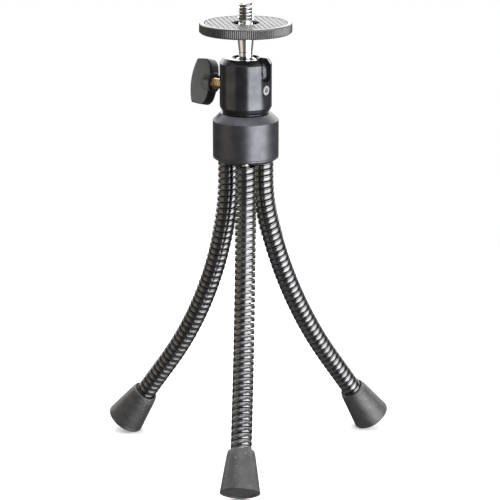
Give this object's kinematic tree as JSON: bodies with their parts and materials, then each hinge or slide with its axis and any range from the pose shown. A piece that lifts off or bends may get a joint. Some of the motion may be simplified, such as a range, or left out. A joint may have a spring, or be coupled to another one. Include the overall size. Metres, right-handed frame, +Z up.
{
  "type": "mini tripod with ball head",
  "caption": "Mini camera tripod: a ball head with a wing knob and a round camera plate on three bendable gooseneck legs with conical rubber feet.",
  "frame": {"origin": "on the floor, on the axis of the hub and the head", "axes": "+Z up along the hub and the camera screw; -Y towards the front leg"},
  "size_m": [0.112, 0.1002, 0.1776],
  "materials": {
    "black_anodised": "satin",
    "plain_aluminium": "satin",
    "steel": "satin",
    "chrome": "polished",
    "brass": "satin",
    "black_gooseneck": "gloss",
    "knob_plastic": "matte",
    "disc_plastic": "satin",
    "pad_rubber": "matte",
    "foot_rubber": "matte",
    "nylon": "satin"
  },
  "bodies": {
    "hub": {"hub_cover": "black_anodised", "leg_plate": "black_anodised", "hub_screw": "steel", "hub_washer": "steel"},
    "head": {"head_housing": "black_anodised", "base_plug": "plain_aluminium", "guide_screw": "steel"},
    "ball": {"ball": "chrome"},
    "stem": {"stem": "chrome"},
    "mount": {"camera_screw": "chrome", "platform_disc": "disc_plastic", "grip_pad": "pad_rubber"},
    "cup": {"ball_cup": "nylon"},
    "lock_screw": {"lock_screw": "brass"},
    "knob": {"wing_knob": "knob_plastic"},
    "front_leg": {"leg_front_root": "black_gooseneck", "leg_front_pin": "steel"},
    "front_leg_1": {"leg_front_section_1": "black_gooseneck"},
    "front_leg_2": {"leg_front_section_2": "black_gooseneck"},
    "front_leg_3": {"leg_front_section_3": "black_gooseneck"},
    "front_leg_4": {"leg_front_section_4": "black_gooseneck"},
    "front_leg_5": {"leg_front_section_5": "black_gooseneck"},
    "front_leg_6": {"leg_front_section_6": "black_gooseneck", "leg_front_end_cap": "steel", "leg_front_foot": "foot_rubber"},
    "right_leg": {"leg_right_root": "black_gooseneck", "leg_right_pin": "steel"},
    "right_leg_1": {"leg_right_section_1": "black_gooseneck"},
    "right_leg_2": {"leg_right_section_2": "black_gooseneck"},
    "right_leg_3": {"leg_right_section_3": "black_gooseneck"},
    "right_leg_4": {"leg_right_section_4": "black_gooseneck"},
    "right_leg_5": {"leg_right_section_5": "black_gooseneck"},
    "right_leg_6": {"leg_right_section_6": "black_gooseneck", "leg_right_end_cap": "steel", "leg_right_foot": "foot_rubber"},
    "left_leg": {"leg_left_root": "black_gooseneck", "leg_left_pin": "steel"},
    "left_leg_1": {"leg_left_section_1": "black_gooseneck"},
    "left_leg_2": {"leg_left_section_2": "black_gooseneck"},
    "left_leg_3": {"leg_left_section_3": "black_gooseneck"},
    "left_leg_4": {"leg_left_section_4": "black_gooseneck"},
    "left_leg_5": {"leg_left_section_5": "black_gooseneck"},
    "left_leg_6": {"leg_left_section_6": "black_gooseneck", "leg_left_end_cap": "steel", "leg_left_foot": "foot_rubber"}
  },
  "joints": [
    {"name": "head_turn", "type": "hinge", "parent": "hub", "child": "head", "pos_m": [0, 0, 0.136], "axis": [0, 0, 1], "range_deg": [-180, 180]},
    {"name": "side_tilt", "type": "hinge", "parent": "head", "child": "ball", "pos_m": [0, 0, 0.1512], "axis": [0.7986, -0.6018, 0], "range_deg": [-14, 14]},
    {"name": "drop_tilt", "type": "hinge", "parent": "ball", "child": "stem", "pos_m": [0, 0, 0.1512], "axis": [0.6018, 0.7986, 0], "range_deg": [-14, 90]},
    {"name": "mount_spin", "type": "hinge", "parent": "stem", "child": "mount", "pos_m": [0, 0, 0.166], "axis": [0, 0, 1], "continuous": true},
    {"name": "knob_turn", "type": "hinge", "parent": "lock_screw", "child": "knob", "pos_m": [0, 0, 0.1454], "axis": [-0.7986, 0.6018, 0], "range_deg": [0, 541]},
    {"name": "lock_screw_travel", "type": "slide", "parent": "head", "child": "lock_screw", "axis": [-0.7986, 0.6018, 0], "range_m": [0, 0.00105]},
    {"name": "cup_drop", "type": "slide", "parent": "head", "child": "cup", "axis": [0, 0, -1], "range_m": [0, 0.00062]},
    {"name": "front_leg_swing", "type": "hinge", "parent": "hub", "child": "front_leg", "pos_m": [0, -0.0076, 0.1174], "axis": [0, 0, 1], "range_deg": [-25, 25]},
    {"name": "front_leg_bend_1", "type": "hinge", "parent": "front_leg", "child": "front_leg_1", "pos_m": [0, -0.0076, 0.1104], "axis": [-0.9991, 0.0419, 0], "range_deg": [-5, 10]},
    {"name": "front_leg_bend_2", "type": "hinge", "parent": "front_leg_1", "child": "front_leg_2", "pos_m": [-0.00008, -0.0094, 0.09353], "axis": [-0.9991, 0.0419, 0], "range_deg": [-5, 10]},
    {"name": "front_leg_bend_3", "type": "hinge", "parent": "front_leg_2", "child": "front_leg_3", "pos_m": [-0.00026, -0.01385, 0.07713], "axis": [-0.9991, 0.0419, 0], "range_deg": [-5, 10]},
    {"name": "front_leg_bend_4", "type": "hinge", "parent": "front_leg_3", "child": "front_leg_4", "pos_m": [-0.00052, -0.01998, 0.06128], "axis": [-0.9991, 0.0419, 0], "range_deg": [-6, 10]},
    {"name": "front_leg_bend_5", "type": "hinge", "parent": "front_leg_4", "child": "front_leg_5", "pos_m": [-0.00084, -0.02772, 0.04616], "axis": [-0.9991, 0.0419, 0], "range_deg": [-6, 10]},
    {"name": "front_leg_bend_6", "type": "hinge", "parent": "front_leg_5", "child": "front_leg_6", "pos_m": [-0.00123, -0.037, 0.03193], "axis": [-0.9991, 0.0419, 0], "range_deg": [-6, 10]},
    {"name": "right_leg_swing", "type": "hinge", "parent": "hub", "child": "right_leg", "pos_m": [0.00658, 0.0038, 0.1174], "axis": [0, 0, 1], "range_deg": [-25, 25]},
    {"name": "right_leg_bend_1", "type": "hinge", "parent": "right_leg", "child": "right_leg_1", "pos_m": [0.00658, 0.0038, 0.1104], "axis": [0.512, -0.859, 0], "range_deg": [-5, 10]},
    {"name": "right_leg_bend_2", "type": "hinge", "parent": "right_leg_1", "child": "right_leg_2", "pos_m": [0.00842, 0.0049, 0.09358], "axis": [0.512, -0.859, 0], "range_deg": [-5, 10]},
    {"name": "right_leg_bend_3", "type": "hinge", "parent": "right_leg_2", "child": "right_leg_3", "pos_m": [0.01273, 0.00747, 0.07735], "axis": [0.512, -0.859, 0], "range_deg": [-5, 10]},
    {"name": "right_leg_bend_4", "type": "hinge", "parent": "right_leg_3", "child": "right_leg_4", "pos_m": [0.01833, 0.01081, 0.06165], "axis": [0.512, -0.859, 0], "range_deg": [-6, 10]},
    {"name": "right_leg_bend_5", "type": "hinge", "parent": "right_leg_4", "child": "right_leg_5", "pos_m": [0.02517, 0.01488, 0.04664], "axis": [0.512, -0.859, 0], "range_deg": [-6, 10]},
    {"name": "right_leg_bend_6", "type": "hinge", "parent": "right_leg_5", "child": "right_leg_6", "pos_m": [0.03319, 0.01966, 0.03244], "axis": [0.512, -0.859, 0], "range_deg": [-6, 10]},
    {"name": "left_leg_swing", "type": "hinge", "parent": "hub", "child": "left_leg", "pos_m": [-0.00658, 0.0038, 0.1174], "axis": [0, 0, 1], "range_deg": [-25, 25]},
    {"name": "left_leg_bend_1", "type": "hinge", "parent": "left_leg", "child": "left_leg_1", "pos_m": [-0.00658, 0.0038, 0.1104], "axis": [0.4648, 0.8854, 0], "range_deg": [-5, 10]},
    {"name": "left_leg_bend_2", "type": "hinge", "parent": "left_leg_1", "child": "left_leg_2", "pos_m": [-0.00785, 0.00447, 0.09348], "axis": [0.4648, 0.8854, 0], "range_deg": [-5, 10]},
    {"name": "left_leg_bend_3", "type": "hinge", "parent": "left_leg_2", "child": "left_leg_3", "pos_m": [-0.01124, 0.00625, 0.07693], "axis": [0.4648, 0.8854, 0], "range_deg": [-5, 10]},
    {"name": "left_leg_bend_4", "type": "hinge", "parent": "left_leg_3", "child": "left_leg_4", "pos_m": [-0.0163, 0.0089, 0.06092], "axis": [0.4648, 0.8854, 0], "range_deg": [-6, 10]},
    {"name": "left_leg_bend_5", "type": "hinge", "parent": "left_leg_4", "child": "left_leg_5", "pos_m": [-0.02295, 0.01239, 0.04569], "axis": [0.4648, 0.8854, 0], "range_deg": [-6, 10]},
    {"name": "left_leg_bend_6", "type": "hinge", "parent": "left_leg_5", "child": "left_leg_6", "pos_m": [-0.03112, 0.01668, 0.03142], "axis": [0.4648, 0.8854, 0], "range_deg": [-6, 10]}
  ],
  "couplings": [
    {"joint": "knob_turn", "follows": "lock_screw_travel", "rad_per_m": 8976},
    {"joint": "cup_drop", "follows": "lock_screw_travel", "ratio": 0.57735},
    {"joint": "front_leg_bend_2", "follows": "front_leg_bend_1", "ratio": 1},
    {"joint": "front_leg_bend_3", "follows": "front_leg_bend_1", "ratio": 1},
    {"joint": "front_leg_bend_5", "follows": "front_leg_bend_4", "ratio": 1},
    {"joint": "front_leg_bend_6", "follows": "front_leg_bend_4", "ratio": 1},
    {"joint": "right_leg_bend_2", "follows": "right_leg_bend_1", "ratio": 1},
    {"joint": "right_leg_bend_3", "follows": "right_leg_bend_1", "ratio": 1},
    {"joint": "right_leg_bend_5", "follows": "right_leg_bend_4", "ratio": 1},
    {"joint": "right_leg_bend_6", "follows": "right_leg_bend_4", "ratio": 1},
    {"joint": "left_leg_bend_2", "follows": "left_leg_bend_1", "ratio": 1},
    {"joint": "left_leg_bend_3", "follows": "left_leg_bend_1", "ratio": 1},
    {"joint": "left_leg_bend_5", "follows": "left_leg_bend_4", "ratio": 1},
    {"joint": "left_leg_bend_6", "follows": "left_leg_bend_4", "ratio": 1}
  ]
}
